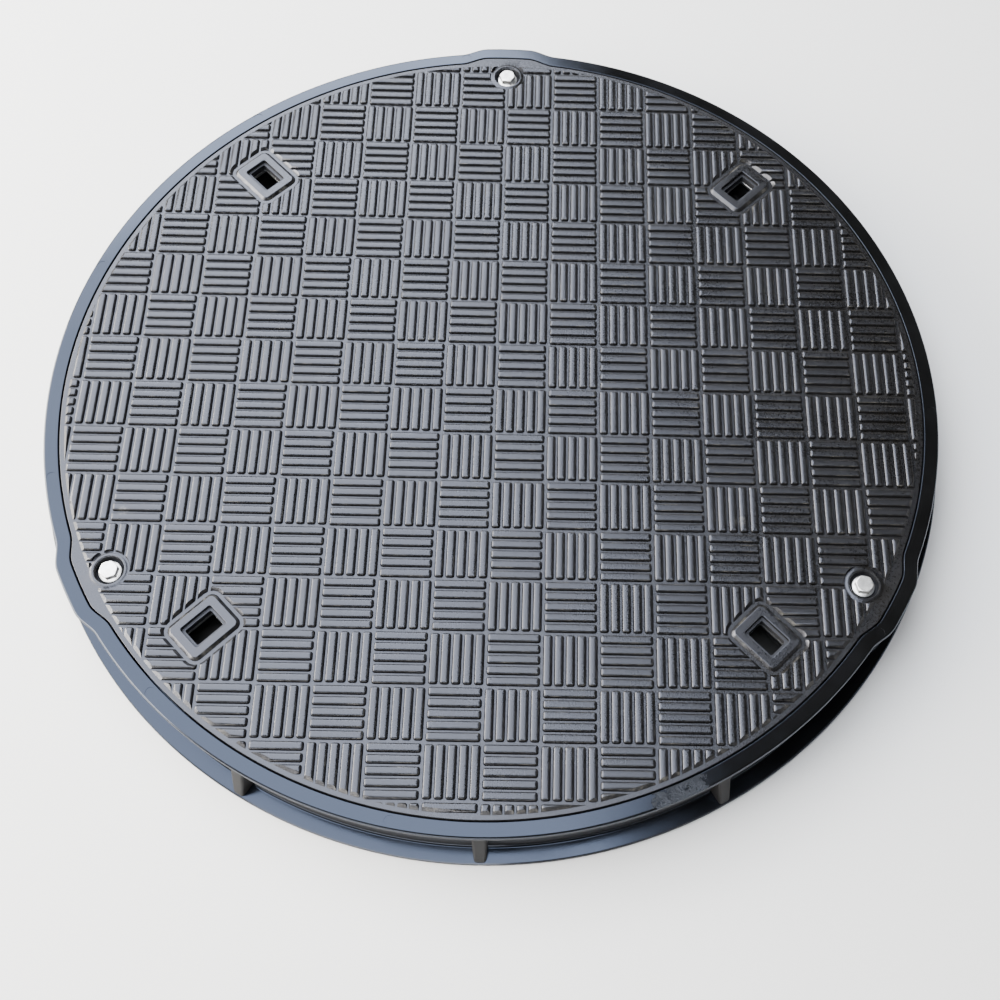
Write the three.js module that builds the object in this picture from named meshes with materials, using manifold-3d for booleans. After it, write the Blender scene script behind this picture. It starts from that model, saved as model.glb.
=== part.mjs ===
// Round composite access cover in its frame: a lobed cover with a basket-weave tread, held by three
// hexagon flange bolts and lifted with keys through four keyways.
// Millimetres, +Z up. The origin is the centre of the frame's underside.
import * as THREE from 'three';
import { mergeVertices } from 'three/addons/utils/BufferGeometryUtils.js';
import Module from 'manifold-3d';

const wasm = await Module();
wasm.setup();

// ---- Driving dimensions ----
const TREAD_SQUARE = 50;                      // one square of the basket weave
const GAP = 0.3;                              // between pieces that touch
const ROUND_STEPS = 72;                       // sides of a large circle
const HOLE_STEPS = 24;                        // sides of a small one
const CORNER_STEPS = 4;                       // steps in a rounded corner

// Plan radii
const COVER_R = 8.3 * TREAD_SQUARE;           // cover edge
const TREAD_R = 8.17 * TREAD_SQUARE;          // where the raised tread ends
const RIM_CLEARANCE = 2;                      // cover edge to frame
const RIM_WIDTH = 13.5;                       // top of the frame, with its lip
const LIP = 3.5;                              // how far the rim stands out over the frame's wall
const FLANGE_R = 443;                         // base flange of the frame
const CLEAR_R = 380;                          // clear opening of the frame
const BOLT_CIRCLE_R = 7.9 * TREAD_SQUARE;
const KEYWAY_OFFSET = 5 * TREAD_SQUARE;       // of each keyway from the centre, along X and along Y

// Heights above the frame's underside
const TOP_Z = 60;                             // top of the tread and the bezels
const TREAD_RISE = 3;
const SKIN_Z = TOP_Z - TREAD_RISE;            // floor between the tread's ribs
const RIM_Z = SKIN_Z;                         // the frame's rim is flush with that floor
const LIP_UNDER_Z = 49;                       // underside of the rim's lip
const SKIN_UNDER_Z = 49;
const EDGE_UNDER_Z = 30;                      // underside of the cover's thick edge
const RIB_UNDER_Z = 24;                       // underside of the cover's stiffening ribs
const SEAT_Z = 27;                            // ledge that carries the cover
const SEAT_THICKNESS = 7;
const FLANGE_THICKNESS = 7;

// Lobes that make room for the bolts
const BOLT_COUNT = 3;
const FIRST_BOLT_ANGLE = Math.PI / 2;
const LOBE_RISE = 7;
const LOBE_HALF_LENGTH = 50;                  // along the edge, from a bolt to the end of its lobe
const LOBE_RAMP = 28;

// Frame
const INNER_WALL = 6;
const WEB_COUNT = 36;
const WEB_THICKNESS = 5;
const BOSS_R = 13;
const GUSSETS = [-1, 0, 1];                   // spaces from the middle between two bolts to each gusset
const GUSSET_SPACING = THREE.MathUtils.degToRad(29);
const GUSSET_WIDTH = 13;

// Gasket in its groove in the ledge
const GASKET_INNER_R = 405;
const GASKET_OUTER_R = 414;
const GROOVE_DEPTH = 1.5;

// Cover
const RING_WALL_R = CLEAR_R - 3;
const RING_WALL = 8;
const RIB_THICKNESS = 6;
const RIB_PITCH = 2 * KEYWAY_OFFSET / 7;      // puts each keyway in the middle of a pocket
const RIBS_EACH_SIDE = 4;

// Keyways: sizes along the radius, then across it
const BEZEL = [54, 43];
const BEZEL_CORNER = 6;
const TROUGH = 4.5;                           // clear floor round a bezel
const MOUTH = [33, 24];
const SLOT = [28.5, 18.5];
const MOUTH_DEPTH = 4;
const CUP = [40, 44];
const CUP_WALL = 2.5;
const CUP_FLOOR_Z = 14;
const KEY_PLATE = 4;                          // thickness
const KEYWAY_BOSS_WALL = 4;
const KEYWAY_ANGLE = Math.PI / 4;

// Bolts: M10 hexagon flange bolts, 40 mm long
const RECESS_R = 13.75;
const RECESS_FLOOR_Z = 49.9;                  // puts the bolt heads flush with the tread
const COLLAR_R = 17;
const COLLAR_TROUGH = 3;
const SHANK_R = 5;
const SHANK_LENGTH = 40;
const BOLT_FLANGE_R = 11;
const BOLT_FLANGE = 2;
const HEAD_HEIGHT = 8;
const HEX_ACROSS_FLATS = 15;
const SEAL_THICKNESS = 1.5;
const SLEEVE_R = 8;
const SLEEVE_BORE_R = 5.5;
const INSERT_R = 8;
const INSERT_BORE_R = 5.3;
const INSERT_UNDER_Z = 4;

// ---- Materials ----
const finish = (color, roughness, metalness = 0) =>
  new THREE.MeshStandardMaterial({ color, roughness, metalness });
const composite = finish(0x2b2d31, 0.38);
const coverComposite = finish(0x3a3c41, 0.45);
const rubber = finish(0x151515, 0.85);
const stainless = finish(0xc9cbce, 0.28, 1);
const zincSteel = finish(0x8e9196, 0.45, 1);
const cupPlastic = finish(0x18191b, 0.6);

// ---- Solids ----
function toSolid(geometry) {
  geometry.deleteAttribute('normal');
  geometry.deleteAttribute('uv');
  const merged = mergeVertices(geometry, 1e-4);
  return new wasm.Manifold(new wasm.Mesh({
    numProp: 3,
    vertProperties: new Float32Array(merged.attributes.position.array),
    triVerts: new Uint32Array(merged.index.array),
  }));
}

function toGeometry(solid) {
  const mesh = solid.getMesh();
  const geometry = new THREE.BufferGeometry();
  geometry.setAttribute('position', new THREE.BufferAttribute(mesh.vertProperties, 3));
  geometry.setIndex(new THREE.BufferAttribute(mesh.triVerts, 1));
  geometry.computeVertexNormals();
  return geometry;
}

const join = (...solids) => solids.reduce((whole, next) => whole.add(next));
const cut = (whole, ...cutters) => cutters.reduce((left, next) => left.subtract(next), whole);

// A flat outline, made into a slab between two heights
function slab(shape, low, high) {
  const geometry = new THREE.ExtrudeGeometry(shape, { depth: high - low, bevelEnabled: false, curveSegments: CORNER_STEPS });
  geometry.translate(0, 0, low);
  return toSolid(geometry);
}

function circle(radius, sides) {
  return new THREE.Shape(Array.from({ length: sides }, (_, i) => polar(radius, 2 * Math.PI * i / sides)));
}

function rectangle([length, width], corner = 0) {
  const [x, y] = [length / 2 - corner, width / 2 - corner];
  const corners = [[x, y], [-x, y], [-x, -y], [x, -y]];
  const shape = new THREE.Shape();
  corners.forEach(([cornerX, cornerY], i) => {
    const start = i * Math.PI / 2;
    if (corner) shape.absarc(cornerX, cornerY, corner, start, start + Math.PI / 2);
    else if (i) shape.lineTo(cornerX, cornerY);
    else shape.moveTo(cornerX, cornerY);
  });
  return shape;
}

const polar = (radius, angle) => new THREE.Vector2(radius * Math.cos(angle), radius * Math.sin(angle));
const rod = (radius, low, high, sides = HOLE_STEPS) => slab(circle(radius, sides), low, high);
const tube = (inner, outer, low, high, sides = HOLE_STEPS) =>
  cut(rod(outer, low, high, sides), rod(inner, low - 1, high + 1, sides));
const grown = ([length, width], by) => [length + 2 * by, width + 2 * by];

// Moves a solid made at the origin to a place on a circle, with its X along the radius
function onCircle(solid, radius, angle) {
  const turn = new THREE.Matrix4().makeRotationZ(angle);
  const move = new THREE.Matrix4().makeTranslation(radius, 0, 0);
  return solid.transform(turn.multiply(move).elements);
}

// ---- The lobed edge ----
const boltAngles = Array.from({ length: BOLT_COUNT }, (_, i) => FIRST_BOLT_ANGLE + 2 * Math.PI * i / BOLT_COUNT);
const keywayAngles = Array.from({ length: 4 }, (_, i) => KEYWAY_ANGLE + Math.PI / 2 * i);
const KEYWAY_R = Math.hypot(KEYWAY_OFFSET, KEYWAY_OFFSET);

function lobeRise(angle) {
  const turnTo = (bolt) => Math.abs(THREE.MathUtils.euclideanModulo(angle - bolt + Math.PI, 2 * Math.PI) - Math.PI);
  const along = COVER_R * Math.min(...boltAngles.map(turnTo));
  return LOBE_RISE * THREE.MathUtils.smoothstep(LOBE_HALF_LENGTH - along, 0, LOBE_RAMP);
}

// Steps round the edge: wide on the plain circle, a third as wide through each lobe
function edgeAngles() {
  const wide = 2 * Math.PI / ROUND_STEPS;
  return Array.from({ length: ROUND_STEPS }, (_, i) => i * wide).flatMap((angle) => {
    const inLobe = lobeRise(angle) > 0 || lobeRise(angle + wide) > 0;
    return inLobe ? [angle, angle + wide / 3, angle + 2 * wide / 3] : [angle];
  });
}

const EDGE_ANGLES = edgeAngles();
const lobedOutline = (radius) => new THREE.Shape(EDGE_ANGLES.map((angle) => polar(radius + lobeRise(angle), angle)));
const roundOutline = (radius) => new THREE.Shape(EDGE_ANGLES.map((angle) => polar(radius, angle)));

// ---- Frame ----
const RIM_INNER_R = COVER_R + RIM_CLEARANCE;
const RIM_OUTER_R = RIM_INNER_R + RIM_WIDTH;
const WALL_OUTER_R = RIM_OUTER_R - LIP;

function gusset(angle) {
  const side = new THREE.Shape([
    new THREE.Vector2(WALL_OUTER_R - 3, 0),
    new THREE.Vector2(FLANGE_R - 1, 0),
    new THREE.Vector2(FLANGE_R - 1, FLANGE_THICKNESS + 1),
    new THREE.Vector2(RIM_OUTER_R - 0.5, LIP_UNDER_Z + 1),
    new THREE.Vector2(WALL_OUTER_R - 3, LIP_UNDER_Z + 1),
  ]);
  const geometry = new THREE.ExtrudeGeometry(side, { depth: GUSSET_WIDTH, bevelEnabled: false });
  geometry.rotateX(Math.PI / 2);
  geometry.translate(0, GUSSET_WIDTH / 2, 0);
  return onCircle(toSolid(geometry), 0, angle);
}

function web(angle) {
  const length = RIM_INNER_R - CLEAR_R;
  return onCircle(slab(rectangle([length, WEB_THICKNESS]), 0, SEAT_Z - SEAT_THICKNESS + 1), CLEAR_R + 3 + length / 2, angle);
}

function frame() {
  const inside = slab(lobedOutline(RIM_INNER_R), -1, TOP_Z);
  const wall = cut(slab(lobedOutline(WALL_OUTER_R), 0, RIM_Z), inside);
  const lip = cut(slab(lobedOutline(RIM_OUTER_R), LIP_UNDER_Z, RIM_Z), inside);
  const flange = cut(slab(roundOutline(FLANGE_R), 0, FLANGE_THICKNESS), slab(lobedOutline(RIM_INNER_R + 1), -1, TOP_Z));
  const ledge = slab(lobedOutline(RIM_INNER_R + 1), SEAT_Z - SEAT_THICKNESS, SEAT_Z);
  const innerWall = slab(roundOutline(CLEAR_R + INNER_WALL), 0, SEAT_Z);
  const clearOpening = slab(roundOutline(CLEAR_R), -1, TOP_Z);
  const channel = slab(roundOutline(CLEAR_R + INNER_WALL), -1, SEAT_Z - SEAT_THICKNESS);
  const webs = Array.from({ length: WEB_COUNT }, (_, i) => web(2 * Math.PI * (i + 0.5) / WEB_COUNT));
  const gussets = boltAngles.flatMap((angle) =>
    GUSSETS.map((place) => gusset(angle + Math.PI / BOLT_COUNT + place * GUSSET_SPACING)));
  const bosses = boltAngles.map((angle) => onCircle(rod(BOSS_R, 0, SEAT_Z - 1), BOLT_CIRCLE_R, angle));
  const hoop = cut(innerWall, clearOpening);
  const seat = cut(ledge, channel, clearOpening);
  const whole = join(wall, lip, flange, seat, hoop, ...webs, ...gussets, ...bosses);
  const bores = boltAngles.map((angle) =>
    onCircle(rod(INSERT_R + GAP, INSERT_UNDER_Z - GAP, SEAT_Z + 1), BOLT_CIRCLE_R, angle));
  const groove = tube(GASKET_INNER_R - GAP, GASKET_OUTER_R + GAP, SEAT_Z - GROOVE_DEPTH, SEAT_Z + 1, ROUND_STEPS);
  return cut(whole, groove, ...bores);
}

const gasket = () =>
  tube(GASKET_INNER_R, GASKET_OUTER_R, SEAT_Z - GROOVE_DEPTH + GAP, EDGE_UNDER_Z - GAP, ROUND_STEPS);
const boltInsert = () => tube(INSERT_BORE_R, INSERT_R, INSERT_UNDER_Z, SEAT_Z - GAP);

// ---- Cover ----
function stiffeningRibs() {
  const reach = 2 * RING_WALL_R;
  const bars = [];
  for (let i = -RIBS_EACH_SIDE; i <= RIBS_EACH_SIDE; i++) {
    const along = slab(rectangle([reach, RIB_THICKNESS]), RIB_UNDER_Z, SKIN_UNDER_Z + 1);
    const across = slab(rectangle([RIB_THICKNESS, reach]), RIB_UNDER_Z, SKIN_UNDER_Z + 1);
    bars.push(along.translate([0, i * RIB_PITCH, 0]), across.translate([i * RIB_PITCH, 0, 0]));
  }
  const bosses = keywayAngles.map((angle) =>
    onCircle(slab(rectangle(grown(CUP, KEYWAY_BOSS_WALL)), RIB_UNDER_Z, SKIN_UNDER_Z + 1), KEYWAY_R, angle));
  return join(...bars, ...bosses).intersect(rod(RING_WALL_R - 1, 0, TOP_Z, ROUND_STEPS));
}

function keywayCutters(angle) {
  const solids = [
    slab(rectangle(grown(CUP, GAP)), 0, SKIN_UNDER_Z - GAP),
    slab(rectangle(SLOT), 0, TOP_Z),
    slab(rectangle(MOUTH), TOP_Z - MOUTH_DEPTH, TOP_Z + 1),
    cut(slab(rectangle(grown(BEZEL, TROUGH), BEZEL_CORNER), SKIN_Z, TOP_Z + 1),
      slab(rectangle(BEZEL, BEZEL_CORNER), SKIN_Z - 1, TOP_Z + 2)),
  ];
  return solids.map((solid) => onCircle(solid, KEYWAY_R, angle));
}

function boltCutters(angle) {
  const solids = [rod(SLEEVE_R + GAP, 0, TOP_Z), rod(RECESS_R, RECESS_FLOOR_Z, TOP_Z + 1)];
  return solids.map((solid) => onCircle(solid, BOLT_CIRCLE_R, angle));
}

function coverPlate() {
  const skin = slab(lobedOutline(COVER_R), SKIN_UNDER_Z, SKIN_Z);
  const edge = cut(slab(lobedOutline(COVER_R), EDGE_UNDER_Z, SKIN_Z), rod(RING_WALL_R - 1, 0, TOP_Z, ROUND_STEPS));
  const ringWall = tube(RING_WALL_R - RING_WALL, RING_WALL_R, RIB_UNDER_Z, SKIN_UNDER_Z + 1, ROUND_STEPS);
  const troughs = boltAngles.map((angle) =>
    onCircle(rod(COLLAR_R + COLLAR_TROUGH, SKIN_Z, TOP_Z + 1), BOLT_CIRCLE_R, angle));
  const tread = cut(rod(TREAD_R, SKIN_Z - 1, TOP_Z, ROUND_STEPS), ...troughs);
  const collars = boltAngles.map((angle) => onCircle(rod(COLLAR_R, SKIN_Z - 1, TOP_Z), BOLT_CIRCLE_R, angle));
  const whole = join(skin, edge, ringWall, stiffeningRibs(), tread, ...collars);
  return cut(whole, ...keywayAngles.flatMap(keywayCutters), ...boltAngles.flatMap(boltCutters));
}

const CUP_TOP_Z = SKIN_UNDER_Z - 2 * GAP - KEY_PLATE - GAP;

function keywayCup() {
  const outside = slab(rectangle(CUP), CUP_FLOOR_Z, CUP_TOP_Z);
  return cut(outside, slab(rectangle(grown(CUP, -CUP_WALL)), CUP_FLOOR_Z + CUP_WALL, TOP_Z));
}

const keyPlate = () => cut(
  slab(rectangle(CUP), CUP_TOP_Z + GAP, CUP_TOP_Z + GAP + KEY_PLATE),
  slab(rectangle(SLOT), 0, TOP_Z),
);

// ---- Bolts ----
const SEAL_Z = RECESS_FLOOR_Z + GAP;
const HEAD_Z = SEAL_Z + SEAL_THICKNESS + GAP;

function coverBolt() {
  const shank = rod(SHANK_R, HEAD_Z - SHANK_LENGTH, HEAD_Z + 1);
  const flange = rod(BOLT_FLANGE_R, HEAD_Z, HEAD_Z + BOLT_FLANGE);
  const hexagon = rod(HEX_ACROSS_FLATS / Math.sqrt(3), HEAD_Z + 1, HEAD_Z + HEAD_HEIGHT, 6);
  return join(shank, flange, hexagon);
}

const sealWasher = () => tube(INSERT_BORE_R, BOLT_FLANGE_R, SEAL_Z, SEAL_Z + SEAL_THICKNESS);
const boltSleeve = () => tube(SLEEVE_BORE_R, SLEEVE_R, EDGE_UNDER_Z + GAP, RECESS_FLOOR_Z);

// ---- Assembly ----
const assembly = new THREE.Group();

function addPiece(name, solid, material, radius = 0, angle = 0) {
  const mesh = new THREE.Mesh(toGeometry(solid), material);
  mesh.name = name;
  mesh.position.set(radius * Math.cos(angle), radius * Math.sin(angle), 0);
  mesh.rotation.z = angle;
  assembly.add(mesh);
}

addPiece('frame', frame(), composite);
addPiece('frame_gasket', gasket(), rubber);
addPiece('cover_plate', coverPlate(), coverComposite);

boltAngles.forEach((angle, i) => {
  addPiece(`bolt_insert_${i + 1}`, boltInsert(), zincSteel, BOLT_CIRCLE_R, angle);
  addPiece(`bolt_sleeve_${i + 1}`, boltSleeve(), zincSteel, BOLT_CIRCLE_R, angle);
  addPiece(`seal_washer_${i + 1}`, sealWasher(), rubber, BOLT_CIRCLE_R, angle);
  addPiece(`cover_bolt_${i + 1}`, coverBolt(), stainless, BOLT_CIRCLE_R, angle);
});

keywayAngles.forEach((angle, i) => {
  addPiece(`key_plate_${i + 1}`, keyPlate(), zincSteel, KEYWAY_R, angle);
  addPiece(`keyway_cup_${i + 1}`, keywayCup(), cupPlastic, KEYWAY_R, angle);
});

export default assembly;
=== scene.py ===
# The looks of a round composite access cover in its flanged frame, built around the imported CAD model.
# Metres, +Z up, in the CAD model's own frame.
import math

import bmesh
import bpy
from mathutils import Matrix, Vector


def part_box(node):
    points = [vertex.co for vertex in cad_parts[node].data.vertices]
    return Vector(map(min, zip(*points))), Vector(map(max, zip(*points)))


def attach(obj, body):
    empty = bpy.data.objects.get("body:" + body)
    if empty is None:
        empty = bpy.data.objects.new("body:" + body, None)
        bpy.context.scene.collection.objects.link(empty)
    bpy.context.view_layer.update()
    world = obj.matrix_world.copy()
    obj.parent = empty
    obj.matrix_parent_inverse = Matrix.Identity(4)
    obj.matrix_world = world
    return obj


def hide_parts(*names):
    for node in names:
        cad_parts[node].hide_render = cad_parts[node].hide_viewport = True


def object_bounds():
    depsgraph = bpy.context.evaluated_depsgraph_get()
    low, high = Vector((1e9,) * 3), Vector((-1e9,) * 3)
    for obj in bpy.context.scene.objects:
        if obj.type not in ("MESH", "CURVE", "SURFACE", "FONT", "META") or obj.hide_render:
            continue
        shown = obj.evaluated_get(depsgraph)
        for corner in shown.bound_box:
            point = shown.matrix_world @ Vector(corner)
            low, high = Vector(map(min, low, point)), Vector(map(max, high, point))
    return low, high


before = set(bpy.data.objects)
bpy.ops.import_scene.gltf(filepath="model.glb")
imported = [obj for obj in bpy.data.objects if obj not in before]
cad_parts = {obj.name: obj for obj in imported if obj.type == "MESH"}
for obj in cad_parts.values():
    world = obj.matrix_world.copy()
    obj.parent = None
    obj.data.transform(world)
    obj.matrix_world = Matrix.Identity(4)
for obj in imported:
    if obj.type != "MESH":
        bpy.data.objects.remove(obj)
CAD_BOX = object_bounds()
MM = 0.001

# ---- Sizes, from the frame ----
COVER_LOW, COVER_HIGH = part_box("cover_plate")
COVER_R = COVER_HIGH.x
FLANGE_R = CAD_BOX[1].x
TOP = CAD_BOX[1].z
SQUARE = COVER_R / 8.3                 # one square of the basket weave
GASKET_LOW, GASKET_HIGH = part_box("frame_gasket")
GASKET_WIDTH = 9 * MM
GAP = 0.3 * MM                         # between pieces that fit together

BOLTS = [1, 2, 3]
KEYWAYS = [1, 2, 3, 4]


def middle(node):
    low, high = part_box(node)
    return (low + high) / 2


def flat_angle(point):
    return math.atan2(point.y, point.x)


BOLT_AT = [middle(f"cover_bolt_{i}") for i in BOLTS]
KEYWAY_AT = [middle(f"keyway_cup_{i}") for i in KEYWAYS]
BOLT_ANGLES = [flat_angle(point) for point in BOLT_AT]

# Heights
TREAD_RISE = 3 * MM
SKIN_Z = TOP - TREAD_RISE              # floor between the tread's ribs
SKIN_UNDER_Z = TOP - 11 * MM
RIM_Z = SKIN_Z                         # the frame's rim is flush with that floor
SEAT_Z = GASKET_LOW.z + 1.2 * MM       # the frame's ledge
EDGE_UNDER_Z = GASKET_HIGH.z + GAP
RIB_UNDER_Z = COVER_LOW.z
LIP_UNDER_Z = TOP - 11 * MM            # underside of the rim's lip
RECESS_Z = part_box("bolt_sleeve_1")[1].z    # floor of each bolt recess

# Plan
TREAD_R = 8.17 * SQUARE
RIM_INNER_R = COVER_R + 1.6 * MM
RIM_OUTER_R = COVER_R + 15.5 * MM
RIM_MIDDLE_R = (RIM_INNER_R + RIM_OUTER_R) / 2
WALL_R = RIM_OUTER_R - 4.2 * MM        # the lip stands out over the frame's wall
CLEAR_R = 380 * MM
RING_WALL_R = CLEAR_R - 3 * MM
LOBE_RISE = COVER_HIGH.y - COVER_R
LOBE_HALF_LENGTH = 50 * MM
LOBE_RAMP = 28 * MM

EDGE_STEPS = 720                       # round the rim and the cover's edge
HOLE_STEPS = 48
SMOOTH_ANGLE = math.radians(38)


# ---- Mesh helpers ----
def add_object(name, mesh):
    made = bpy.data.objects.new(name, mesh)
    bpy.context.scene.collection.objects.link(made)
    return made


def rings_mesh(rings, closed=False):
    """Faces between rings of points, and a cap on each end unless the last ring joins the first."""
    count = len(rings[0])
    points = [point for ring in rings for point in ring]
    faces = []
    pairs = len(rings) if closed else len(rings) - 1
    for i in range(pairs):
        low, high = i * count, (i + 1) % len(rings) * count
        for j in range(count):
            k = (j + 1) % count
            faces.append((low + j, low + k, high + k, high + j))
    if not closed:
        faces.append(tuple(reversed(range(count))))
        faces.append(tuple(range(len(points) - count, len(points))))
    return points, faces


def solid(name, parts):
    """One mesh object from several lists of (points, faces), with its faces turned outwards."""
    vertices, faces = [], []
    for points, part_faces in parts:
        first = len(vertices)
        vertices.extend(points)
        faces.extend(tuple(first + v for v in face) for face in part_faces)
    mesh = bpy.data.meshes.new(name)
    mesh.from_pydata(vertices, [], faces)
    made = bmesh.new()
    made.from_mesh(mesh)
    bmesh.ops.recalc_face_normals(made, faces=made.faces)
    made.to_mesh(mesh)
    made.free()
    return add_object(name, mesh)


def apply_modifier(made, modifier):
    """Bakes the modifier just added to made into its mesh."""
    graph = bpy.context.evaluated_depsgraph_get()
    result = bpy.data.meshes.new_from_object(made.evaluated_get(graph))
    made.modifiers.remove(modifier)
    made.data = result


def smooth(made):
    """Smooth shading with normals weighted by area, which keeps flat faces flat up to their rounded edges."""
    made.data.shade_smooth()
    made.data.set_sharp_from_angle(angle=SMOOTH_ANGLE)
    modifier = made.modifiers.new("normals", "WEIGHTED_NORMAL")
    modifier.keep_sharp = True
    apply_modifier(made, modifier)
    return made


def combine(base, other, operation):
    """Joins, cuts or intersects base with other, which is used up."""
    modifier = base.modifiers.new(operation, "BOOLEAN")
    modifier.operation = operation
    modifier.solver = "MANIFOLD"
    modifier.object = other
    apply_modifier(base, modifier)
    bpy.data.objects.remove(other)
    return base


# ---- Outlines ----
def lobe_rise(angle):
    """How far the lobes at the bolts push the edge out at an angle."""
    turns = [abs((angle - bolt + math.pi) % (2 * math.pi) - math.pi) for bolt in BOLT_ANGLES]
    share = (LOBE_HALF_LENGTH - COVER_R * min(turns)) / LOBE_RAMP
    share = min(1, max(0, share))
    return LOBE_RISE * share * share * (3 - 2 * share)


def ring(radius, z, lobed):
    """A ring of points about the middle, pushed out at the bolts if it is lobed."""
    points = []
    for i in range(EDGE_STEPS):
        angle = 2 * math.pi * i / EDGE_STEPS
        reach = radius + (lobe_rise(angle) if lobed else 0)
        points.append(Vector((reach * math.cos(angle), reach * math.sin(angle), z)))
    return points


def circle(radius, steps=HOLE_STEPS):
    """A round outline, as a function that gives its points for an offset outwards."""
    def outline(offset):
        return [Vector(((radius + offset) * math.cos(2 * math.pi * i / steps),
                        (radius + offset) * math.sin(2 * math.pi * i / steps))) for i in range(steps)]
    return outline


def box_outline(length, width, corner, corner_steps=4):
    """A rounded rectangle, as a function that gives its points for an offset outwards."""
    def outline(offset):
        points = []
        radius = max(corner + offset, 0.05 * MM)
        x, y = length / 2 + offset - radius, width / 2 + offset - radius
        for i, (side_x, side_y) in enumerate(((1, 1), (-1, 1), (-1, -1), (1, -1))):
            for j in range(corner_steps + 1):
                angle = (i + j / corner_steps) * math.pi / 2
                points.append(Vector((side_x * x + radius * math.cos(angle),
                                      side_y * y + radius * math.sin(angle))))
        return points
    return outline


def loft(outline, profile, at=Vector((0, 0)), turn=0):
    """A solid whose outline grows by profile's offset at each of profile's heights."""
    rotation = Matrix.Rotation(turn, 2)
    rings = []
    for offset, z in profile:
        flat = [rotation @ point for point in outline(offset)]
        rings.append([Vector((point.x + at.x, point.y + at.y, z)) for point in flat])
    return rings_mesh(rings)


def rounded(radius, z, up=1, steps=4):
    """Profile points (offset, height) of a rounded edge, from the side at offset 0 to the face at z."""
    points = []
    for i in range(steps + 1):
        angle = i / steps * math.pi / 2
        points.append((radius * (math.cos(angle) - 1), z + up * radius * (math.sin(angle) - 1)))
    return points


# ---- Cover ----
RIBS_PER_SQUARE = 5
RIB_PITCH = SQUARE / RIBS_PER_SQUARE
RIB_WIDTH = 0.62 * RIB_PITCH
RIB_END = 2.5 * MM                     # from the end of a rib to the edge of its square
RIB_CORNER = 1.2 * MM
# A rib's crowned section, as (millimetres outside RIB_WIDTH, share of the rise)
RIB_SECTION = [(1.1, -0.35), (1.1, 0), (0.75, 0.40), (0.4, 0.66),
               (0.0, 0.82), (-0.6, 0.92), (-1.4, 0.975), (-2.4, 1)]

BEZEL = (54 * MM, 43 * MM)
BEZEL_CORNER = 7 * MM
BEZEL_SLOPE = 3.2 * MM
TROUGH = 4.5 * MM
MOUTH = (33 * MM, 24 * MM)
SLOT = (28.5 * MM, 18.5 * MM)
SLOT_CORNER = 1.5 * MM
MOUTH_DEPTH = 4 * MM
CUP = (40 * MM, 44 * MM)
CUP_CORNER = 3 * MM
SLEEVE_R = 8 * MM
RECESS_R = 13.75 * MM
COLLAR_R = 16 * MM
COLLAR_TROUGH = 2.5 * MM


def rib(x, y, along_x):
    """One raised rib of the tread, crowned, with sloping sides."""
    length = SQUARE - 2 * RIB_END
    size = (length, RIB_WIDTH) if along_x else (RIB_WIDTH, length)
    profile = [(out * MM, SKIN_Z + share * TREAD_RISE) for out, share in RIB_SECTION]
    return loft(box_outline(*size, RIB_CORNER, corner_steps=3), profile, Vector((x, y)))


def weave():
    """The basket weave: squares of five ribs, turned by a quarter from each square to the next."""
    parts = []
    reach = math.ceil(TREAD_R / SQUARE)
    for column in range(-reach, reach):
        for row in range(-reach, reach):
            corner = Vector((column, row)) * SQUARE
            innermost = Vector((max(column, -column - 1), max(row, -row - 1))) * SQUARE
            if innermost.length > TREAD_R:
                continue
            along_x = (column + row) % 2 == 0
            for i in range(RIBS_PER_SQUARE):
                across, mid = (i + 0.5) * RIB_PITCH, SQUARE / 2
                shift = Vector((mid, across)) if along_x else Vector((across, mid))
                parts.append(rib(*(corner + shift), along_x))
    return solid("weave", parts)


def tread():
    """The weave, cut to a sloping edge at the cover's rim and kept clear of the bezels and collars."""
    ribs = weave()
    rim = loft(circle(TREAD_R, EDGE_STEPS // 2), [(4.4 * MM, SKIN_Z - 2 * MM), (-2 * MM, TOP + 1 * MM)])
    combine(ribs, solid("tread_rim", [rim]), "INTERSECT")
    slope = [(-1.2 * MM, SKIN_Z - 3 * MM), (1.2 * MM, TOP + 1 * MM)]
    gentle = [(TROUGH - 4 * MM, SKIN_Z - 3 * MM), (TROUGH + 2.5 * MM, TOP + 1 * MM)]
    clear = [loft(box_outline(*BEZEL, BEZEL_CORNER), gentle, at, flat_angle(at)) for at in KEYWAY_AT]
    clear += [loft(circle(COLLAR_R + COLLAR_TROUGH), slope, at) for at in BOLT_AT]
    return combine(ribs, solid("clear_floor", clear), "DIFFERENCE")


def plate():
    """The cover's body: a thick lobed edge round a thin skin, with a ring wall below."""
    wall = 8 * MM
    sections = [(TREAD_R - 20 * MM, SKIN_Z, False)]
    sections += [(COVER_R + offset, z, True) for offset, z in reversed(rounded(0.5 * MM, SKIN_Z))]
    sections += [(COVER_R + offset, z, True) for offset, z in rounded(1.5 * MM, EDGE_UNDER_Z, up=-1)]
    sections += [
        (RING_WALL_R + 2 * MM, EDGE_UNDER_Z, False),
        (RING_WALL_R + 0.3 * MM, EDGE_UNDER_Z - 1.5 * MM, False),
        (RING_WALL_R - 0.3 * MM, RIB_UNDER_Z + 1 * MM, False),
        (RING_WALL_R - 1.3 * MM, RIB_UNDER_Z, False),
        (RING_WALL_R - wall + 1 * MM, RIB_UNDER_Z, False),
        (RING_WALL_R - wall, RIB_UNDER_Z + 1 * MM, False),
        (RING_WALL_R - wall - 1 * MM, SKIN_UNDER_Z - 3 * MM, False),
        (RING_WALL_R - wall - 4 * MM, SKIN_UNDER_Z, False),
    ]
    return solid("cover", [rings_mesh([ring(*section) for section in sections])])


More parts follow.
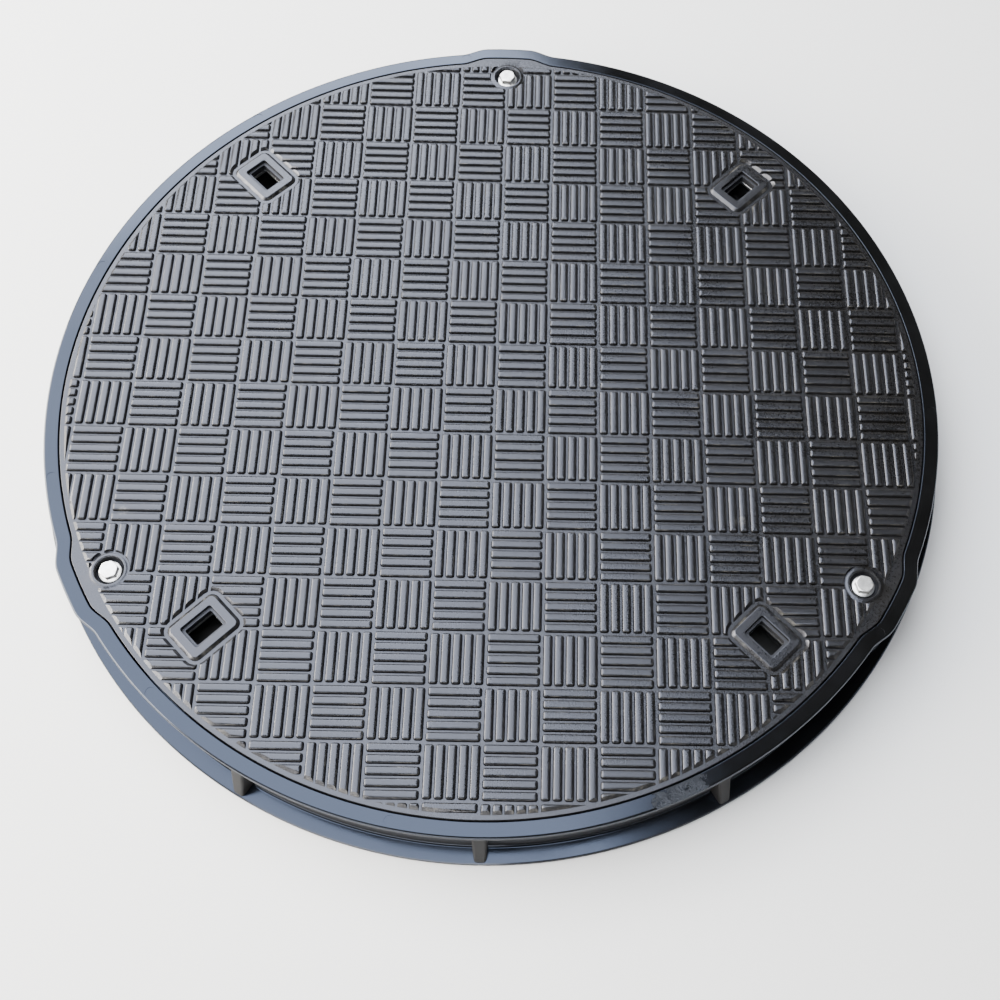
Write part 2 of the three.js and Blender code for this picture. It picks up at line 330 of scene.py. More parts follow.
def stiffening_ribs():
    """The grid below the skin, as two sets of bars."""
    spaces_between_keyways = 7
    pitch = 2 * abs(KEYWAY_AT[0].x) / spaces_between_keyways
    each_side, width, corner = 4, 5 * MM, 0.5 * MM
    sets = [[], []]
    profile = [(-0.8 * MM, RIB_UNDER_Z), (0, RIB_UNDER_Z + 1 * MM), (0.6 * MM, SKIN_UNDER_Z - 2 * MM),
               (2.4 * MM, SKIN_UNDER_Z), (2.4 * MM, SKIN_UNDER_Z + 2 * MM)]
    for i in range(-each_side, each_side + 1):
        aside = i * pitch
        length = 2 * math.sqrt((RING_WALL_R - 4 * MM) ** 2 - aside ** 2)
        along_x = box_outline(length, width, corner, corner_steps=1)
        along_y = box_outline(width, length, corner, corner_steps=1)
        sets[0].append(loft(along_x, profile, Vector((0, aside))))
        sets[1].append(loft(along_y, profile, Vector((aside, 0))))
    return [solid("bars", bars) for bars in sets]


def bosses():
    """Blocks round the keyways' cups, below the skin and inside the ring wall."""
    size = (CUP[0] + 7 * MM, CUP[1] + 7 * MM)
    profile = [(-1 * MM, RIB_UNDER_Z), (0, RIB_UNDER_Z + 1 * MM), (0.6 * MM, SKIN_UNDER_Z + 2 * MM)]
    blocks = [loft(box_outline(*size, 4 * MM), profile, at, flat_angle(at)) for at in KEYWAY_AT]
    inside = [ring(RING_WALL_R - 2 * MM, z, lobed=False) for z in (RIB_UNDER_Z - 1 * MM, SKIN_Z)]
    return combine(solid("bosses", blocks), solid("inside", [rings_mesh(inside)]), "INTERSECT")


def raised_rims():
    """The keyway bezels and the bolt collars."""
    side = [(0.4 * MM, SKIN_Z - 1 * MM), (0, SKIN_Z + 0.3 * MM)]
    bezel = side + [(0.7 * MM - BEZEL_SLOPE, TOP - 0.5 * MM), (-BEZEL_SLOPE, TOP)]
    collar = [(2.3 * MM, SKIN_Z - 1 * MM), (2.1 * MM, SKIN_Z),
              (0.2 * MM, TOP - 1.9 * MM), (-1.2 * MM, TOP - 1.7 * MM)]
    outline = box_outline(*BEZEL, BEZEL_CORNER, corner_steps=6)
    parts = [loft(outline, bezel, at, flat_angle(at)) for at in KEYWAY_AT]
    parts += [loft(circle(COLLAR_R), collar, at) for at in BOLT_AT]
    return solid("raised_rims", parts)


def cover_cutters():
    """Keyway mouths, slots and pockets, and bolt recesses and bores, in sets whose members don't touch."""
    lip = 0.8 * MM
    mouth = [(0, TOP - MOUTH_DEPTH), (0.2 * MM, TOP - lip), (0.3 * lip, TOP - 0.4 * lip),
             (lip, TOP), (lip, TOP + 1 * MM)]
    through = [(0, RIB_UNDER_Z - 5 * MM), (0, TOP - 2 * MM)]
    pocket = [(GAP, RIB_UNDER_Z - 5 * MM), (GAP, SKIN_UNDER_Z - GAP)]
    recess = [(0, RECESS_Z), (0.3 * MM, TOP - 2.4 * MM), (0.7 * MM, TOP - 1.8 * MM), (0.7 * MM, TOP + 1 * MM)]
    bore = [(0, EDGE_UNDER_Z - 5 * MM), (0, RECESS_Z + 2 * MM)]

    def at_keyways(size, corner, profile):
        return [loft(box_outline(*size, corner), profile, at, flat_angle(at)) for at in KEYWAY_AT]

    yield at_keyways(MOUTH, 2 * MM, mouth) + [loft(circle(RECESS_R - 0.4 * MM), recess, at) for at in BOLT_AT]
    yield at_keyways(SLOT, SLOT_CORNER, through) + [loft(circle(SLEEVE_R + GAP), bore, at) for at in BOLT_AT]
    yield at_keyways(CUP, CUP_CORNER, pocket)


def cover():
    made = plate()
    combine(made, tread(), "UNION")
    combine(made, raised_rims(), "UNION")
    for bars in stiffening_ribs():
        combine(made, bars, "UNION")
    combine(made, bosses(), "UNION")
    for cutters in cover_cutters():
        combine(made, solid("cutters", cutters), "DIFFERENCE")
    return made


# ---- Frame ----
SEAT_THICKNESS = 7 * MM
FLANGE_THICKNESS = 7 * MM
INNER_WALL = 6 * MM
GUSSETS = [-1, 0, 1]                   # spaces from the middle between two bolts to each gusset
GUSSET_SPACING = math.radians(29)
WEBS = 36
EJECTOR_MARKS = 11
EJECTOR_SHIFT = 0.94                   # of one space between marks
EJECTOR_MARK_R = 4.9 * MM
EJECTOR_MARK_DEPTH = 0.3 * MM
BOSS_R = 13 * MM
INSERT_R = 8 * MM


def frame_section():
    """The frame's section from the rim's inner edge outwards: radius, height, whether it has the lobes."""
    inner, outer = RIM_INNER_R, RIM_OUTER_R
    seat_under = SEAT_Z - SEAT_THICKNESS
    groove_z, groove_outer, groove_width = GASKET_LOW.z - GAP, GAP - GASKET_LOW.x, GASKET_WIDTH + 2 * GAP
    section = [(inner - offset, z, True) for offset, z in rounded(0.5 * MM, RIM_Z)]
    section += [(outer + offset, z, True) for offset, z in reversed(rounded(2.4 * MM, RIM_Z, steps=6))]
    section += [
        (outer, LIP_UNDER_Z + 1 * MM, True),
        (outer - 0.8 * MM, LIP_UNDER_Z, True),
        (WALL_R + 1 * MM, LIP_UNDER_Z, True),
        (WALL_R, LIP_UNDER_Z - 1 * MM, True),
        (WALL_R - 0.5 * MM, FLANGE_THICKNESS + 14 * MM, True),
        (WALL_R, FLANGE_THICKNESS + 4 * MM, True),
        (WALL_R + 0.4 * MM, FLANGE_THICKNESS + 1.8 * MM, True),
        (WALL_R + 1.4 * MM, FLANGE_THICKNESS + 0.5 * MM, True),
        (WALL_R + 3 * MM, FLANGE_THICKNESS, True),
        (FLANGE_R - 1.2 * MM, FLANGE_THICKNESS - 0.4 * MM, False),
        (FLANGE_R - 0.3 * MM, FLANGE_THICKNESS - 1.3 * MM, False),
        (FLANGE_R, 2 * MM, False),
        (FLANGE_R - 0.5 * MM, 0, False),
        (inner + 0.5 * MM, 0, True),
        (inner, 1 * MM, True),
        (inner - 0.5 * MM, seat_under - 2 * MM, True),
        (inner - 2.5 * MM, seat_under, True),
        (CLEAR_R + INNER_WALL + 2.5 * MM, seat_under, False),
        (CLEAR_R + INNER_WALL + 0.5 * MM, seat_under - 2 * MM, False),
        (CLEAR_R + INNER_WALL - 0.5 * MM, 0.6 * MM, False),
        (CLEAR_R + INNER_WALL - 1 * MM, 0, False),
        (CLEAR_R + 0.6 * MM, 0, False),
        (CLEAR_R, 0.6 * MM, False),
        (CLEAR_R, SEAT_Z - 1.2 * MM, False),
        (CLEAR_R + 0.4 * MM, SEAT_Z - 0.4 * MM, False),
        (CLEAR_R + 1.2 * MM, SEAT_Z, False),
        (groove_outer - groove_width, SEAT_Z, False),
        (groove_outer - groove_width, groove_z, False),
        (groove_outer, groove_z, False),
        (groove_outer, SEAT_Z, False),
        (inner - 0.8 * MM, SEAT_Z, True),
        (inner, SEAT_Z + 0.8 * MM, True),
    ]
    return section


def gusset(angle):
    """A tapered rib under the lip, from the wall to the flange's edge, rounded outside."""
    root, foot, head = WALL_R - 3 * MM, FLANGE_R - 1.6 * MM, RIM_OUTER_R - 0.6 * MM
    rotation = Matrix.Rotation(angle, 3, "Z")
    corner, corner_steps = 2.6 * MM, 4
    sections = [(foot, 5.2 * MM, 2 * MM),               # reach, half width, height
                (foot, 5.3 * MM, FLANGE_THICKNESS + 0.5 * MM),
                (foot - 0.6 * MM, 5.5 * MM, FLANGE_THICKNESS + 3 * MM),
                (head, 6.6 * MM, LIP_UNDER_Z + 1 * MM)]
    rings = []
    for reach, half, z in sections:
        side = [(root, half + 1 * MM)]
        for i in range(corner_steps + 1):
            turn = i / corner_steps * math.pi / 2
            side.append((reach - corner + corner * math.sin(turn), half - corner + corner * math.cos(turn)))
        flat = [(x, -y) for x, y in side] + side[::-1]
        rings.append([rotation @ Vector((x, y, z)) for x, y in flat])
    return rings_mesh(rings)


def frame_gussets():
    between = [angle + math.pi / len(BOLTS) for angle in BOLT_ANGLES]
    angles = [angle + spaces * GUSSET_SPACING for angle in between for spaces in GUSSETS]
    return solid("frame_gussets", [gusset(angle) for angle in angles])


def web(angle):
    """A radial wall under the ledge, from the inner wall to the outer one."""
    length = RIM_INNER_R - CLEAR_R
    at = Vector((math.cos(angle), math.sin(angle))) * (CLEAR_R + 3 * MM + length / 2)
    profile = [(-0.5 * MM, 0.4 * MM), (0, 1 * MM), (0.5 * MM, SEAT_Z - SEAT_THICKNESS + 1 * MM)]
    return loft(box_outline(length, 4.2 * MM, 0.5 * MM, corner_steps=1), profile, at, angle)


def evenly(count, shift):
    """Angles evenly round the circle, turned by shift of one space."""
    return [2 * math.pi * (i + shift) / count for i in range(count)]


def ejector_marks():
    """Shallow round marks that the mould's ejector pins left on the rim."""
    profile = [(0, RIM_Z - EJECTOR_MARK_DEPTH), (0.05 * MM, RIM_Z + 1 * MM)]
    parts = []
    for angle in evenly(EJECTOR_MARKS, EJECTOR_SHIFT):
        reach = RIM_MIDDLE_R + lobe_rise(angle)
        at = Vector((math.cos(angle), math.sin(angle))) * reach
        parts.append(loft(circle(EJECTOR_MARK_R, steps=40), profile, at))
    return solid("ejector_marks", parts)


def frame_ring():
    section = frame_section()
    made = solid("frame_ring", [rings_mesh([ring(*point) for point in section], closed=True)])
    combine(made, solid("webs", [web(angle) for angle in evenly(WEBS, 0.5)]), "UNION")
    boss = [(-0.4 * MM, 0.4 * MM), (0, 1 * MM), (0, SEAT_Z - 2 * MM)]
    combine(made, solid("bosses", [loft(circle(BOSS_R), boss, at) for at in BOLT_AT]), "UNION")
    bore = [(GAP, 3.7 * MM), (GAP, SEAT_Z - 0.6 * MM),
            (GAP + 0.6 * MM, SEAT_Z), (GAP + 0.6 * MM, SEAT_Z + 1 * MM)]
    combine(made, solid("bores", [loft(circle(INSERT_R), bore, at) for at in BOLT_AT]), "DIFFERENCE")
    combine(made, ejector_marks(), "DIFFERENCE")
    return made


# ---- Turned pieces: a closed section of (radius, height) swept about an upright axis ----
def turned(name, section, at=Vector((0, 0)), steps=HOLE_STEPS):
    rings = []
    for i in range(steps):
        angle = 2 * math.pi * i / steps
        across, along = math.cos(angle), math.sin(angle)
        rings.append([Vector((at.x + r * across, at.y + r * along, z)) for r, z in section])
    return solid(name, [rings_mesh(rings, closed=True)])


def tube_section(inner, outer, low, high, chamfer):
    return [(inner + chamfer, low), (outer - chamfer, low), (outer, low + chamfer), (outer, high - chamfer),
            (outer - chamfer, high), (inner + chamfer, high), (inner, high - chamfer), (inner, low + chamfer)]


def gasket():
    """A rubber ring with two sealing lips on top."""
    outer = -GASKET_LOW.x
    inner, low, high = outer - GASKET_WIDTH, GASKET_LOW.z, GASKET_HIGH.z
    valley = high - 1.2 * MM
    section = [(inner + 0.5 * MM, low), (outer - 0.5 * MM, low), (outer, low + 0.5 * MM), (outer, valley),
               (outer - 1.2 * MM, high), (outer - 2.2 * MM, high), (outer - 3.6 * MM, valley),
               (inner + 3.6 * MM, valley), (inner + 2.2 * MM, high), (inner + 1.2 * MM, high),
               (inner, valley), (inner, low + 0.5 * MM)]
    return turned("gasket", section, steps=EDGE_STEPS // 2)


# ---- Bolts ----
THREAD_PITCH = 1.5 * MM
THREAD_DEPTH = 0.85 * MM
SHANK_R = 5 * MM
BOLT_FLANGE_R = 10.4 * MM
SEAL_R = 11 * MM
HEX_CORNER_R = 15 * MM / math.sqrt(3)  # 15 mm across flats
THREAD_STEPS = 32


def thread_rings(low, high, radius, at):
    """Rings up a threaded rod, each with its dip a step further round, so that the ridges wind round it."""
    rings = []
    per_pitch = 4
    count = int((high - low) / THREAD_PITCH * per_pitch)
    for i in range(count + 1):
        z = low + (high - low) * i / count
        points = []
        for j in range(THREAD_STEPS):
            angle = 2 * math.pi * j / THREAD_STEPS
            phase = (z / THREAD_PITCH - j / THREAD_STEPS) % 1
            depth = THREAD_DEPTH * abs(2 * phase - 1)
            fade = min(1, (z - low) / THREAD_PITCH, (high - z) / THREAD_PITCH + 0.2)
            reach = radius - depth * fade - 0.6 * MM * max(0, 1 - (z - low) / THREAD_PITCH)
            points.append(Vector((at.x + reach * math.cos(angle), at.y + reach * math.sin(angle), z)))
        rings.append(points)
    return rings


def bolt(i):
    """A hexagon flange bolt: chamfered hexagon, sloping flange, threaded shank."""
    low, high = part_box(f"cover_bolt_{i}")
    at = BOLT_AT[i - 1]
    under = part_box(f"seal_washer_{i}")[1].z + GAP
    shank = thread_rings(low.z, under + 1 * MM, SHANK_R, at)
    made = solid(f"bolt_{i}_head_and_shank", [rings_mesh(shank)])
    flange = [(-0.5 * MM, under), (0, under + 0.5 * MM), (0, under + 1.2 * MM),
              (-0.7 * MM, under + 1.7 * MM), (-3.2 * MM, under + 2.2 * MM)]
    combine(made, solid("flange", [loft(circle(BOLT_FLANGE_R), flange, at)]), "UNION")
    tightened_to = 0.4 + 0.5 * i       # each bolt's hexagon ends up at a turn of its own
    hexagon = loft(circle(HEX_CORNER_R, 6), [(0, under + 1.5 * MM), (0, high.z)], at, tightened_to)
    chamfer = [(0.3 * MM, under), (0.3 * MM, high.z - 1.4 * MM), (-0.5 * MM, high.z - 0.6 * MM),
               (-1.7 * MM, high.z)]
    crown = loft(circle(HEX_CORNER_R), chamfer, at)
    head = combine(solid("hexagon", [hexagon]), solid("crown", [crown]), "INTERSECT")
    return combine(made, head, "UNION")


def threaded_insert(i):
    """A knurled insert with a plain bore, chamfered at both ends."""
    low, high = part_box(f"bolt_insert_{i}")
    at = BOLT_AT[i - 1]
    knurls, knurl_depth = 36, 0.35 * MM
    profile = [(0.8 * MM, low.z), (0.1 * MM, low.z + 0.6 * MM), (0.1 * MM, high.z - 4 * MM),
               (0.9 * MM, high.z - 3.6 * MM), (0.9 * MM, high.z - 2.4 * MM), (0.1 * MM, high.z - 2 * MM),
               (0.1 * MM, high.z - 0.5 * MM), (0.7 * MM, high.z)]
    rings = []
    for depth, z in profile:
        points = []
        for j in range(2 * knurls):
            angle = math.pi * j / knurls
            reach = INSERT_R - depth - (knurl_depth if j % 2 else 0)
            points.append(Vector((at.x + reach * math.cos(angle), at.y + reach * math.sin(angle), z)))
        rings.append(points)
    made = solid(f"threaded_insert_{i}", [rings_mesh(rings)])
    bore = [(0.9 * MM, low.z - 1 * MM), (0.9 * MM, low.z), (0, low.z + 0.9 * MM),
            (0, high.z - 0.9 * MM), (0.9 * MM, high.z), (0.9 * MM, high.z + 1 * MM)]
    return combine(made, solid("bore", [loft(circle(SHANK_R + GAP), bore, at)]), "DIFFERENCE")


def sleeve(i):
    low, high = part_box(f"bolt_sleeve_{i}")
    section = tube_section(SHANK_R + 0.5 * MM, SLEEVE_R, low.z, high.z, 0.5 * MM)
    return turned(f"sleeve_{i}", section, BOLT_AT[i - 1])


def seal(i):
    low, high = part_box(f"seal_washer_{i}")
    section = tube_section(SHANK_R + GAP, SEAL_R, low.z, high.z, 0.7 * MM)
    return turned(f"seal_{i}", section, BOLT_AT[i - 1])


# ---- Keyways ----
def key_plate(i):
    """A steel plate with a slot for the key's bar, chamfered all round."""
    low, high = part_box(f"key_plate_{i}")
    at, turn = KEYWAY_AT[i - 1], flat_angle(KEYWAY_AT[i - 1])
    chamfer = 0.4 * MM
    edge = [(-chamfer, low.z), (0, low.z + chamfer), (0, high.z - chamfer), (-chamfer, high.z)]
    made = solid(f"slotted_plate_{i}", [loft(box_outline(*CUP, CUP_CORNER), edge, at, turn)])
    hole = [(chamfer, low.z - 1 * MM), (chamfer, low.z), (0, low.z + chamfer),
            (0, high.z - chamfer), (chamfer, high.z), (chamfer, high.z + 1 * MM)]
    return combine(made, solid("slot", [loft(box_outline(*SLOT, SLOT_CORNER), hole, at, turn)]), "DIFFERENCE")


def cup(i):
    """A blind cup with a rounded floor."""
    low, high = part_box(f"keyway_cup_{i}")
    at, turn = KEYWAY_AT[i - 1], flat_angle(KEYWAY_AT[i - 1])
    wall, bend = 2.5 * MM, 3 * MM
    taper = 0.3 * MM
    outside = [(offset - taper, z) for offset, z in reversed(rounded(bend, low.z, up=-1))] + [(0, high.z)]
    made = solid(f"cup_{i}", [loft(box_outline(*CUP, CUP_CORNER), outside, at, turn)])
    inside = [(offset - wall, z) for offset, z in reversed(rounded(bend, low.z + wall, up=-1))]
    inside += [(taper - wall, high.z - 0.8 * MM), (0.9 * MM - wall, high.z),
               (0.9 * MM - wall, high.z + 1 * MM)]
    hollow = solid("hollow", [loft(box_outline(*CUP, CUP_CORNER), inside, at, turn)])
    return combine(made, hollow, "DIFFERENCE")


# ---- Materials ----
def grey(value):
    return value, value, value


def new_material(name):
    material = bpy.data.materials.new(name)
    material.use_nodes = True
    nodes, links = material.node_tree.nodes, material.node_tree.links
    return material, nodes, links, nodes["Principled BSDF"]


def noise(nodes, links, scale, detail, roughness):
    made = nodes.new("ShaderNodeTexNoise")
    made.inputs["Scale"].default_value = scale
    made.inputs["Detail"].default_value = detail
    made.inputs["Roughness"].default_value = roughness
    links.new(position(nodes), made.inputs["Vector"])
    return made.outputs["Fac"]


def remap(nodes, links, value, low, high, to_low, to_high):
    made = nodes.new("ShaderNodeMapRange")
    links.new(value, made.inputs["Value"])
    for name, number in (("From Min", low), ("From Max", high), ("To Min", to_low), ("To Max", to_high)):
        made.inputs[name].default_value = number
    return made.outputs["Result"]


def mix(nodes, links, share, first, second):
    made = nodes.new("ShaderNodeMix")
    made.data_type = "RGBA"
    links.new(share, made.inputs["Factor"])
    for name, colour in (("A", first), ("B", second)):
        socket = next(s for s in made.inputs if s.name == name and s.type == "RGBA")
        if isinstance(colour, tuple):
            socket.default_value = (*colour, 1)
        else:
            links.new(colour, socket)
    return next(s for s in made.outputs if s.type == "RGBA")


def bump(nodes, links, height, distance, strength, below=None):
    made = nodes.new("ShaderNodeBump")
    made.inputs["Distance"].default_value = distance
    made.inputs["Strength"].default_value = strength
    links.new(height, made.inputs["Height"])
    if below is not None:
        links.new(below, made.inputs["Normal"])
    return made.outputs["Normal"]


def position(nodes):
    """A place on the piece, which moves with it."""
    return nodes.new("ShaderNodeTexCoord").outputs["Object"]


def separate(nodes, links, vector, axis):
    made = nodes.new("ShaderNodeSeparateXYZ")
    links.new(vector, made.inputs["Vector"])
    return made.outputs[axis]


def level_share(nodes, links):
    """The upward part of the surface's normal: 1 on level faces, 0 on upright ones."""
    return separate(nodes, links, nodes.new("ShaderNodeTexCoord").outputs["Normal"], "Z")


def arithmetic(nodes, links, operation, first, second):
    made = nodes.new("ShaderNodeMath")
    made.operation = operation
    links.new(first, made.inputs[0])
    links.new(second, made.inputs[1])
    return made.outputs["Value"]


def composite(name, colour, worn, gloss, sky_reflection_tint, rough, grain):
    """Moulded black composite, with flow marks and a fine grain."""
    material, nodes, links, shader = new_material(name)
    shader.inputs["IOR"].default_value = gloss
    # The bluish specular tint is a painted reflection: it colours the gloss with the blue of a sky.
    shader.inputs["Specular Tint"].default_value = (*sky_reflection_tint, 1)
    flow = noise(nodes, links, 14, 5, 0.6)
    fine = noise(nodes, links, 700, 3, 0.65)
    base = mix(nodes, links, remap(nodes, links, flow, 0.35, 0.7, 0, 1), colour, worn)
    roughness = remap(nodes, links, flow, 0.3, 0.7, rough - 0.05, rough + 0.05)
    normal = bump(nodes, links, fine, grain, 0.6)
    return material, nodes, links, shader, base, roughness, normal


def connect(links, shader, base, roughness, normal):
    links.new(base, shader.inputs["Base Color"])
    links.new(roughness, shader.inputs["Roughness"])
    links.new(normal, shader.inputs["Normal"])


def near(nodes, links, points, inner, outer):
    """1 within inner of any of the points, falling to 0 at outer."""
    total = None
    for point in points:
        away = nodes.new("ShaderNodeVectorMath")
        away.operation = "DISTANCE"
        links.new(position(nodes), away.inputs[0])
        away.inputs[1].default_value = point
        share = remap(nodes, links, away.outputs["Value"], inner, outer, 1, 0)
        total = share if total is None else arithmetic(nodes, links, "MAXIMUM", total, share)
    return total


def place_at(angle, reach, z):
    """A place at an angle in degrees and a distance from the middle."""
    angle = math.radians(angle)
    return reach * math.cos(angle), reach * math.sin(angle), z


SCUFF_ANGLE = 293.5                    # of the worn patch on the rim, in degrees
COVER_SCUFFS = [(202.4, 365.5 * MM), (-30.7, 268.5 * MM)]      # degrees, distance from the middle


def frame_look():
    """The frame's smooth coat, glossy on level faces, dull and painted dark brown on the walls, partly dirt
    and partly a painted reflection of dark ground, and scuffed off in one patch.
    """
    parts = composite("frame_composite", grey(0.003), grey(0.005),
                      gloss=1.50, sky_reflection_tint=(0.59, 0.71, 1.0), rough=0.15, grain=0.03 * MM)
    material, nodes, links, shader, base, roughness, normal = parts
    level = remap(nodes, links, level_share(nodes, links), 0.15, 0.35, 0, 1)
    patch = near(nodes, links, [place_at(SCUFF_ANGLE, RIM_MIDDLE_R, RIM_Z)], 20 * MM, 42 * MM)
    patch = arithmetic(nodes, links, "MULTIPLY", patch, level)
    chips = noise(nodes, links, 170, 6, 0.7)
    scuffed = remap(nodes, links, arithmetic(nodes, links, "MULTIPLY", patch, chips), 0.40, 0.44, 0, 1)
    base = mix(nodes, links, scuffed, base, grey(0.007))
    roughness = mix(nodes, links, scuffed, roughness, grey(0.35))
    pits = noise(nodes, links, 420, 5, 0.7)
    normal = bump(nodes, links, arithmetic(nodes, links, "MULTIPLY", scuffed, pits), 4 * MM, 1.0, normal)
    # Walls are painted a dull dark brown: partly dirt, partly a painted reflection of dark ground.
    base = mix(nodes, links, level, (0.009, 0.007, 0.004), base)
    roughness = mix(nodes, links, level, grey(0.75), roughness)
    connect(links, shader, base, roughness, normal)
    return material


def gusset_look():
    """The same moulding, duller, painted warm dark brown low on the frame's side: partly dirt, partly a
    painted reflection of dark ground.
    """
    parts = composite("frame_side", (0.0035, 0.003, 0.0025), (0.009, 0.0075, 0.006),
                      gloss=1.35, sky_reflection_tint=(0.85, 0.9, 1), rough=0.7, grain=0.1 * MM)
    material, _, links, shader, *outputs = parts
    connect(links, shader, *outputs)
    return material


def cover_look():
    """The cover's grained composite: dust on the floor between the ribs, pale sloped edges that are partly
    wear and partly a painted highlight, specks and scuffs.
    """
    parts = composite("cover_composite", grey(0.002), (0.004, 0.0038, 0.0034),
                      gloss=1.62, sky_reflection_tint=(0.80, 0.84, 1.0), rough=0.31, grain=0.24 * MM)
    material, nodes, links, shader, base, roughness, normal = parts
    height = separate(nodes, links, position(nodes), "Z")
    low = remap(nodes, links, height, SKIN_Z, SKIN_Z + 1.2 * MM, 1, 0)
    patches = remap(nodes, links, noise(nodes, links, 9, 5, 0.65), 0.42, 0.62, 0.25, 1)
    base = mix(nodes, links, arithmetic(nodes, links, "MULTIPLY", low, patches), base, (0.007, 0.006, 0.004))
    level = level_share(nodes, links)
    # Sloped faces above the floor are painted pale in patches: partly wear, partly a painted highlight where
    # the edges catch the light.
    slope = arithmetic(nodes, links, "MULTIPLY", remap(nodes, links, level, 0.95, 0.80, 0, 1),
                       remap(nodes, links, level, 0.66, 0.72, 0, 1))
    high = remap(nodes, links, height, SKIN_Z, SKIN_Z + 0.6 * MM, 0, 1)
    highlight_and_wear_patches = remap(nodes, links, noise(nodes, links, 60, 5, 0.7), 0.50, 0.66, 0, 0.8)
    worn = arithmetic(nodes, links, "MULTIPLY", arithmetic(nodes, links, "MULTIPLY", slope, high), highlight_and_wear_patches)
    scuffs = near(nodes, links, [place_at(*scuff, TOP) for scuff in COVER_SCUFFS], 1 * MM, 6 * MM)
    chips = remap(nodes, links, noise(nodes, links, 260, 4, 0.7), 0.45, 0.55, 0, 1)
    worn = arithmetic(nodes, links, "MAXIMUM", worn, arithmetic(nodes, links, "MULTIPLY", scuffs, chips))
    # Pale colour for the scuffs and for the sloped edges, where it is partly wear and partly a painted
    # highlight.
    base = mix(nodes, links, worn, base, (0.13, 0.125, 0.11))
    specks = remap(nodes, links, noise(nodes, links, 420, 4, 0.75), 0.40, 0.66, 0, 1)
    base = mix(nodes, links, specks, base, (0.007, 0.006, 0.0045))
    roughness = arithmetic(nodes, links, "ADD", roughness, remap(nodes, links, specks, 0, 1, -0.04, 0.08))
    below = remap(nodes, links, height, SKIN_Z - 0.6 * MM, SKIN_Z - 1.6 * MM, 0, 1)
    roughness = mix(nodes, links, below, roughness, grey(0.85))
    connect(links, shader, base, roughness, normal)
    return material


def metal(name, colour, roughness, scratches):
    """Metal with fine marks in its colour, gloss and relief."""
    material, nodes, links, shader = new_material(name)
    shader.inputs["Metallic"].default_value = 1
    marks = noise(nodes, links, scratches, 6, 0.7)
    stained = tuple(0.75 * c for c in colour)
    base = mix(nodes, links, remap(nodes, links, marks, 0.4, 0.7, 0, 1), colour, stained)
    varied = remap(nodes, links, marks, 0.3, 0.7, roughness * 0.7, roughness * 1.4)
    connect(links, shader, base, varied, bump(nodes, links, marks, 0.05 * MM, 0.4))
    return material


def matt(name, colour, roughness, scale):
    """Rubber or dull plastic, with a cloudy bloom."""
    material, nodes, links, shader = new_material(name)
    cloud = noise(nodes, links, scale, 5, 0.6)
    bloom = tuple(1.8 * c + 0.004 for c in colour)
    base = mix(nodes, links, remap(nodes, links, cloud, 0.4, 0.75, 0, 1), colour, bloom)
    varied = remap(nodes, links, cloud, 0.3, 0.7, roughness - 0.08, roughness + 0.08)
    connect(links, shader, base, varied, bump(nodes, links, cloud, 0.08 * MM, 0.4))
    return material


FRAME_LOOK = frame_look()
SIDE_LOOK = gusset_look()
COVER_LOOK = cover_look()
RUBBER = matt("seal_rubber", grey(0.012), 0.75, 300)
CUP_LOOK = matt("cup_plastic", grey(0.003), 0.75, 120)
STAINLESS = metal("stainless_steel", (0.88, 0.87, 0.85), 0.38, 260)
PLATED = metal("plated_steel", (0.52, 0.53, 0.54), 0.40, 180)


# ---- Assembly ----
def place(piece, body, material, slot, *nodes):
    """Finishes a piece, which rides on body in place of the CAD's nodes."""
    smooth(piece)
    piece.data.materials.clear()
    piece.data.materials.append(material)
    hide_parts(*nodes)
    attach(piece, body)


place(frame_ring(), "frame_assembly", FRAME_LOOK, "frame_composite", "frame")
place(frame_gussets(), "frame_assembly", SIDE_LOOK, "frame_composite", "frame")
place(gasket(), "frame_assembly", RUBBER, "seal_rubber", "frame_gasket")
place(cover(), "cover_assembly", COVER_LOOK, "cover_composite", "cover_plate")
for i in BOLTS:
    place(threaded_insert(i), "frame_assembly", PLATED, "plated_steel", f"bolt_insert_{i}")
    place(sleeve(i), "cover_assembly", PLATED, "plated_steel", f"bolt_sleeve_{i}")
    place(seal(i), f"bolt_{i}_carrier", RUBBER, "seal_rubber", f"seal_washer_{i}")
    place(bolt(i), f"bolt_{i}", STAINLESS, "stainless_steel", f"cover_bolt_{i}")
for i in KEYWAYS:
    place(key_plate(i), "cover_assembly", PLATED, "plated_steel", f"key_plate_{i}")
    place(cup(i), "cover_assembly", CUP_LOOK, "cup_plastic", f"keyway_cup_{i}")


# ---- Floor, light and camera ----
def floor():
    half = 6
    corners = [(-half, -half, 0), (half, -half, 0), (half, half, 0), (-half, half, 0)]
    mesh = bpy.data.meshes.new("floor")
    mesh.from_pydata(corners, [], [(0, 1, 2, 3)])
    material, _, _, shader = new_material("floor")
    shader.inputs["Base Color"].default_value = (*grey(0.82), 1)
    shader.inputs["Roughness"].default_value = 0.8
    mesh.materials.append(material)
    add_object("floor", mesh)


def softbox(name, at, target, size, turn, brightness, colour):
    """A plain rectangular light, of the same brightness all over, aimed at target."""
    light = bpy.data.lights.new(name, "AREA")
    light.shape = "RECTANGLE"
    light.size, light.size_y = size
    light.energy = brightness * math.pi * size[0] * size[1]
    light.color = colour
    made = add_object(name, light)
    made.location = at
    aimed = (Vector(target) - Vector(at)).to_track_quat("-Z", "Y").to_matrix()
    made.rotation_euler = (Matrix.Rotation(math.radians(turn), 3, "Z") @ aimed).to_euler()
    made.visible_camera = False


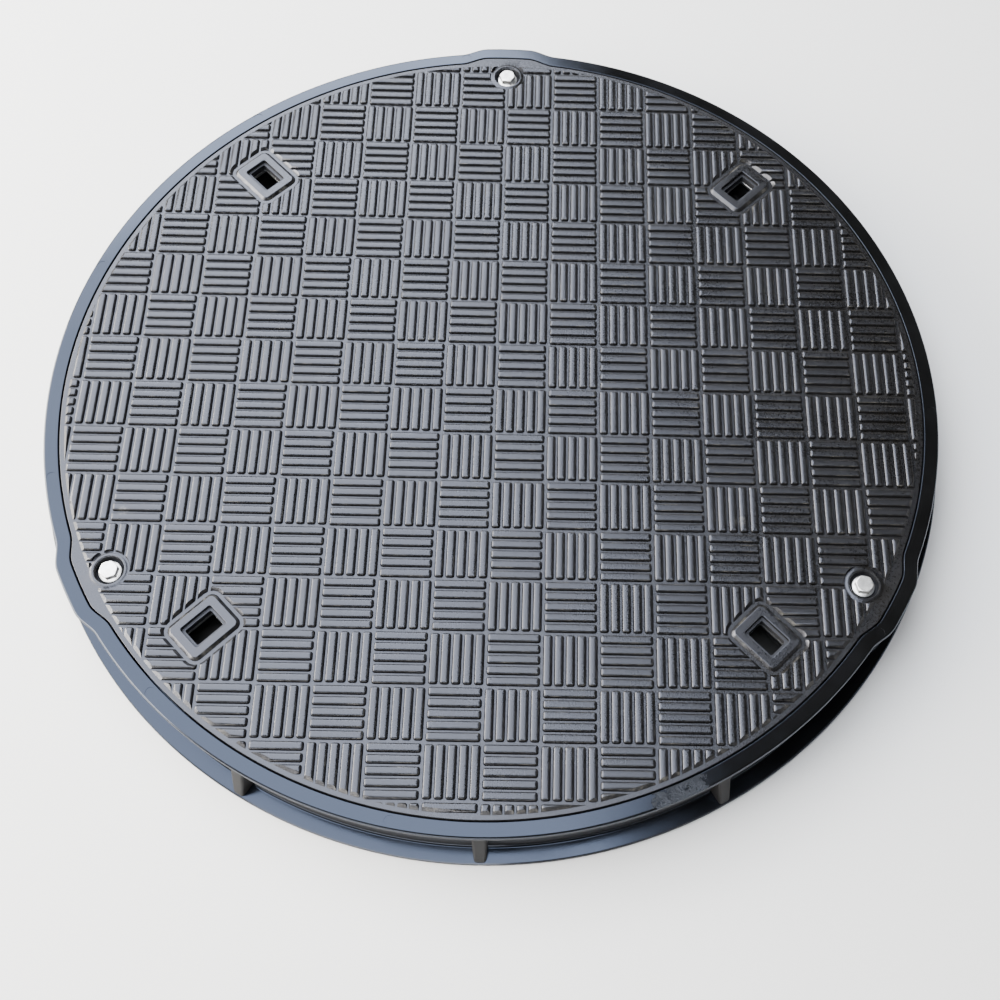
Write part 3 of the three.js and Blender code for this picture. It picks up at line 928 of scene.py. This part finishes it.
# Name, place, target, (width, height), turn about Z in degrees, brightness, colour
LIGHTS = [
    ("wall_light", (-2.8, 0.0, 0.85), (0, 0, 0.1), (3.6, 1.5), 0, 28, (1.0, 0.94, 0.83)),
    ("upper_wall_light", (-2.95, 0.2, 2.1), (0, 0.2, 0.1), (3.6, 0.9), 0, 9, (1.0, 0.93, 0.78)),
    ("front_light", (-1.1, -3.0, 0.5), (-0.1, 0, 0.1), (2.6, 0.6), 0, 9, (1.0, 0.95, 0.86)),
    ("ceiling_light", (-1.40, 1.15, 2.66), (-1.40, 1.15, 0), (3.2, 4.9), 7.4, 8.8, (0.90, 0.94, 1.0)),
    ("back_ceiling_light", (-1.49, 3.1, 2.65), (-1.49, 3.1, 0), (3.0, 2.0), 7.4, 6, (0.92, 0.96, 1.0)),
]


def surroundings(overhead, horizon):
    """A studio that is dim overhead and pale round the horizon."""
    world = bpy.data.worlds.new("studio")
    world.use_nodes = True
    nodes, links = world.node_tree.nodes, world.node_tree.links
    direction = nodes.new("ShaderNodeTexCoord").outputs["Generated"]
    low = remap(nodes, links, separate(nodes, links, direction, "Z"), 0.15, 0.45, 1, 0)
    links.new(mix(nodes, links, low, overhead, horizon), nodes["Background"].inputs["Color"])
    bpy.context.scene.world = world


def camera():
    """The photo's point of view, which was solved from the cover's circle and the weave's grid."""
    lens, shift = 45.9, -0.06
    azimuth, elevation, roll = math.radians(2.17), math.radians(64.89), math.radians(3.13)
    place_above_cover = Vector((0.0449, -0.6232, 1.0747))
    data = bpy.data.cameras.new("camera")
    data.lens = lens
    data.shift_x = shift
    made = add_object("camera", data)
    forward = Vector((math.sin(azimuth) * math.cos(elevation), math.cos(azimuth) * math.cos(elevation),
                      -math.sin(elevation)))
    level = forward.to_track_quat("-Z", "Y").to_matrix()
    made.matrix_world = (Matrix.Translation(place_above_cover + Vector((0, 0, TOP)))
                         @ (level @ Matrix.Rotation(roll, 3, "Z")).to_4x4())
    bpy.context.scene.camera = made


floor()
surroundings(grey(0.03), (0.9, 0.86, 0.8))
for light in LIGHTS:
    softbox(*light)
camera()
